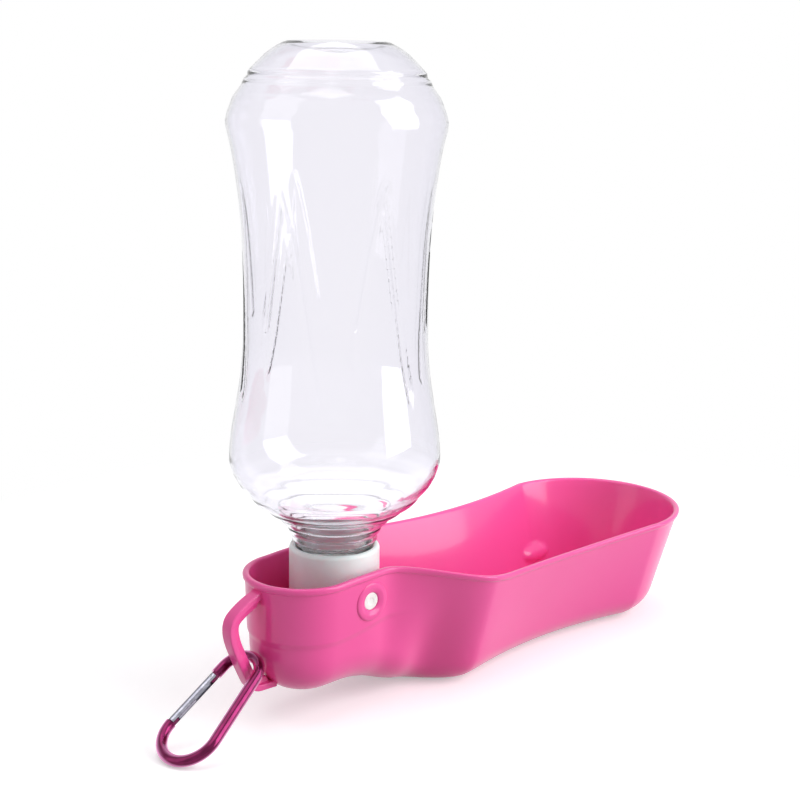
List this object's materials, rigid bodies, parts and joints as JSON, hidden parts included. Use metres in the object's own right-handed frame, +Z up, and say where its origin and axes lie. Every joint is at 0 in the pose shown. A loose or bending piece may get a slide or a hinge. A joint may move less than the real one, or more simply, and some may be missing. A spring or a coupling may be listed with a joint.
{
  "type": "dog travel water bottle",
  "caption": "Clear ribbed squeeze bottle standing upside down in the neck of a long pink drinking trough, folding down on two pivot pins, with a spring-gate carabiner on its loop.",
  "frame": {"origin": "middle of the flat foot under the trough's bowl, on the surface it stands on", "axes": "+Z up, +X towards the end of the bowl, -X towards the carry loop, Y along the fold axis"},
  "size_m": [0.2506, 0.0756, 0.2248],
  "materials": {
    "trough_plastic": "satin",
    "bottle_plastic": "clear gloss",
    "cap_plastic": "satin",
    "pin_plastic": "gloss",
    "seal_rubber": "matte",
    "valve_rubber": "satin",
    "anodised_aluminium": "anodised satin",
    "gate_aluminium": "brushed",
    "steel": "brushed"
  },
  "bodies": {
    "trough": {"trough": "trough_plastic"},
    "cap": {"cap": "cap_plastic", "pivot_pin_left": "pin_plastic", "pivot_pin_right": "pin_plastic", "slit_valve": "valve_rubber", "valve_retainer": "cap_plastic"},
    "seal": {"sealing_washer": "seal_rubber"},
    "bottle": {"bottle": "bottle_plastic"},
    "carabiner": {"carabiner_body": "anodised_aluminium"},
    "gate": {"carabiner_gate": "gate_aluminium", "gate_rivet": "steel", "gate_spring": "steel"}
  },
  "joints": [
    {"name": "bottle_fold", "type": "hinge", "parent": "trough", "child": "cap", "pos_m": [-0.09, 0, 0.0413], "axis": [0, 1, 0], "range_deg": [-15, 66]},
    {"name": "bottle_turn", "type": "hinge", "parent": "cap", "child": "seal", "pos_m": [-0.09, 0, 0.0446], "axis": [0, 0, 1], "range_deg": [0, 1260]},
    {"name": "bottle_rise", "type": "slide", "parent": "seal", "child": "bottle", "axis": [0, 0, 1], "range_m": [0, 0.00945]},
    {"name": "carabiner_swing", "type": "hinge", "parent": "trough", "child": "carabiner", "pos_m": [-0.131, 0, 0.022], "axis": [0.3879, 0, -0.9217], "range_deg": [-30, 30]},
    {"name": "gate_open", "type": "hinge", "parent": "carabiner", "child": "gate", "pos_m": [-0.13693, 0.00768, 0.01813], "axis": [-0.523, -0.0754, 0.849], "range_deg": [0, 25], "stiffness_Nm_per_rad": 0.01, "springref_deg": -28.65}
  ],
  "couplings": [
    {"joint": "bottle_rise", "follows": "bottle_turn", "m_per_rad": 0.00042972}
  ]
}
